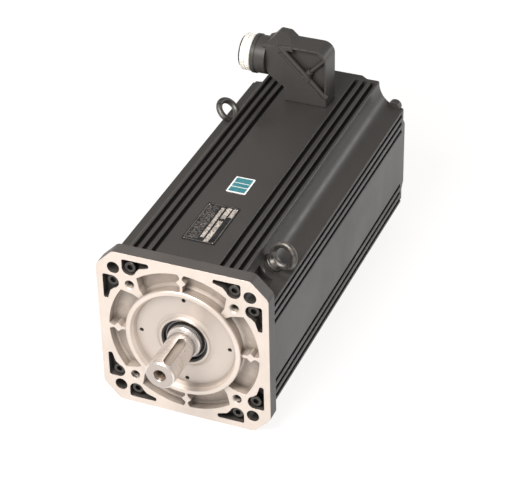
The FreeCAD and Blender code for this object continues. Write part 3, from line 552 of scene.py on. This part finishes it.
def paint_nodes():
    """Give every CAD node the finish of its material slot."""
    made = {}
    for row in frame["record"]["subparts"]:
        slot = row["material_slot"]
        if slot not in made:
            made[slot] = FINISHES[slot]().material
        mesh = NODES[row["node"]].data
        mesh.materials.clear()
        mesh.materials.append(made[slot])


# ---------------------------------------------------------------- screw threads inside tapped holes
def cut_thread_finish(name, colour, bright_to, dark_from):
    """Freshly cut thread near the mouth, with painted shade taking it dark further in."""
    f = Finish(name)
    _, y, _ = f.axes()
    rub = f.noise(500, 3, 0.6)
    base = f.mix(f.span(rub, 0.3, 0.7), tint(colour, 0.6), tint(colour, 1.1))
    # painted shade: the thread goes almost black further into the hole
    base = f.mix(f.span(y, bright_to, dark_from), base, (0.03, 0.022, 0.015, 1.0))
    f.set(base_color=base, metallic=0.35, roughness=f.span(rub, 0.3, 0.7, 0.42, 0.6),
          normal=f.bump(rub, 0.00002, 0.4))
    return f


def thread_ridge(name, body, centre, radius, depth, y_span, pitch, material):
    """A helical ridge standing on a hole's wall: triangular section, one turn per pitch."""
    turns = (y_span[1] - y_span[0]) / pitch - 1.0
    count = int(turns * STEPS_PER_TURN)
    run_out = STEPS_PER_TURN / 2
    vertices = []
    for i in range(count + 1):
        angle = 2 * math.pi * i / STEPS_PER_TURN
        y = y_span[0] + pitch * i / STEPS_PER_TURN
        taper = min(1.0, i / run_out, (count - i) / run_out)
        crest = radius - depth * taper
        for r, shift in ((radius, 0.04), (crest, 0.44), (crest, 0.56), (radius, 0.96)):
            vertices.append((centre[0] + r * math.cos(angle), y + pitch * shift,
                             centre[1] + r * math.sin(angle)))
    faces = []
    for i in range(count):
        for k in range(4):
            a, b = 4 * i + k, 4 * i + (k + 1) % 4
            faces.append((a, b, b + 4, a + 4))
    faces.append((3, 2, 1, 0))
    last = 4 * count
    faces.append((last, last + 1, last + 2, last + 3))
    mesh = bpy.data.meshes.new(name)
    mesh.from_pydata(vertices, [], faces)
    mesh.materials.append(material)
    piece = bpy.data.objects.new(name, mesh)
    bpy.context.scene.collection.objects.link(piece)
    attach(piece, body)


def cut_threads():
    """Threads of the four flange taps, and of the hole in the shaft's end."""
    taps = MOUNTS["flange_taps"]["dims"]
    reach = taps["pcd_mm"] / 2 / math.sqrt(2) * MM
    bare = cut_thread_finish("tapped_aluminium", (0.40, 0.35, 0.31), 1.0 * MM, 7.0 * MM).material
    for i, (sx, sz) in enumerate(((-1, -1), (-1, 1), (1, -1), (1, 1))):
        thread_ridge(f"flange_tap_thread_{i}", "housing", (sx * reach, sz * reach),
                     taps["hole_r_mm"] * MM, 0.55 * MM, TAP_THREAD, TAP_PITCH, bare)
    low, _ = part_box("shaft")
    shaded_steel_thread = cut_thread_finish("tapped_steel", (0.17, 0.10, 0.055), low.y + 2.0 * MM,
                             low.y + 12.0 * MM).material
    thread_ridge("shaft_hole_thread", "rotor", (0.0, 0.0), SHAFT_HOLE_R, 0.7 * MM,
                 (low.y + 3.3 * MM, low.y + 26.0 * MM), SHAFT_PITCH, shaded_steel_thread)


# ---------------------------------------------------------------- studio
def make_floor():
    """Pale floor at the object's lowest point."""
    floor_z = CAD_BOX[0].z
    mesh = bpy.data.meshes.new("floor")
    corners = [(-1, -1), (1, -1), (1, 1), (-1, 1)]
    mesh.from_pydata([(x * FLOOR_REACH, y * FLOOR_REACH, floor_z) for x, y in corners], [], [(0, 1, 2, 3)])
    floor = bpy.data.objects.new("floor", mesh)
    bpy.context.scene.collection.objects.link(floor)
    f = Finish("studio_floor")
    cloud = f.noise(1.5, 3)
    f.set(base_color=f.mix(f.span(cloud, 0.3, 0.7), (0.17, 0.17, 0.17, 1.0), (0.19, 0.19, 0.19, 1.0)),
          emission_color=WHITE, emission_strength=FLOOR_GLOW,
          roughness=f.span(cloud, 0.3, 0.7, 0.8, 0.9))
    mesh.materials.append(f.material)


def area_light(name, place, aim, size, power, colour=(1.0, 1.0, 1.0)):
    """Rectangular lamp at a place, turned towards a point; power in watts."""
    data = bpy.data.lights.new(name, "AREA")
    data.shape = "RECTANGLE"
    data.size, data.size_y = size
    data.energy = power
    data.color = colour
    light = bpy.data.objects.new(name, data)
    light.location = place
    light.rotation_mode = "QUATERNION"
    light.rotation_quaternion = (Vector(aim) - Vector(place)).to_track_quat("-Z", "Y")
    light.visible_camera = False
    bpy.context.scene.collection.objects.link(light)


def make_lights():
    world = bpy.data.worlds.new("studio")
    world.use_nodes = True
    background = world.node_tree.nodes["Background"]
    background.inputs["Color"].default_value = WHITE
    background.inputs["Strength"].default_value = SKY_GLOW
    bpy.context.scene.world = world
    middle = (0.0, 0.15, 0.0)
    area_light("front_soft", (0.3, -2.4, 1.2), middle, (1.2, 1.0), 10, (1.0, 0.98, 0.95))
    area_light("top_soft", (-0.14, -0.5, 0.85), (0.0, 0.05, 0.0), (0.5, 0.5), 15, (1.0, 0.95, 0.91))
    area_light("right_strip", (2.0, 1.5, 0.9), (0.0, 0.4, 0.0), (0.4, 0.9), 3)
    area_light("notch_glint", (1.62, 2.2, 0.62), (0.07, 0.2, 0.07), (0.14, 0.14), 7)


def make_camera():
    """Long lens at the object's upper front right, rolled slightly."""
    data = bpy.data.cameras.new("camera")
    data.lens = CAMERA_LENS
    data.sensor_width = 36.0
    data.clip_start = 0.05
    data.clip_end = 50.0
    back = Vector((math.sin(CAMERA_AZIMUTH) * math.cos(CAMERA_ELEVATION),
                   -math.cos(CAMERA_AZIMUTH) * math.cos(CAMERA_ELEVATION),
                   math.sin(CAMERA_ELEVATION)))
    level_right = Vector((0, 0, 1)).cross(back).normalized()
    level_up = back.cross(level_right)
    right = level_right * math.cos(CAMERA_ROLL) + level_up * math.sin(CAMERA_ROLL)
    up = level_up * math.cos(CAMERA_ROLL) - level_right * math.sin(CAMERA_ROLL)
    camera = bpy.data.objects.new("camera", data)
    camera.matrix_world = (Matrix.Translation(CAMERA_AIM + back * CAMERA_DISTANCE)
                           @ Matrix((right, up, back)).transposed().to_4x4())
    bpy.context.scene.collection.objects.link(camera)
    bpy.context.scene.camera = camera


make_camera()
paint_nodes()
cut_threads()
make_floor()
make_lights()
bpy.context.scene.view_settings.view_transform = "Standard"
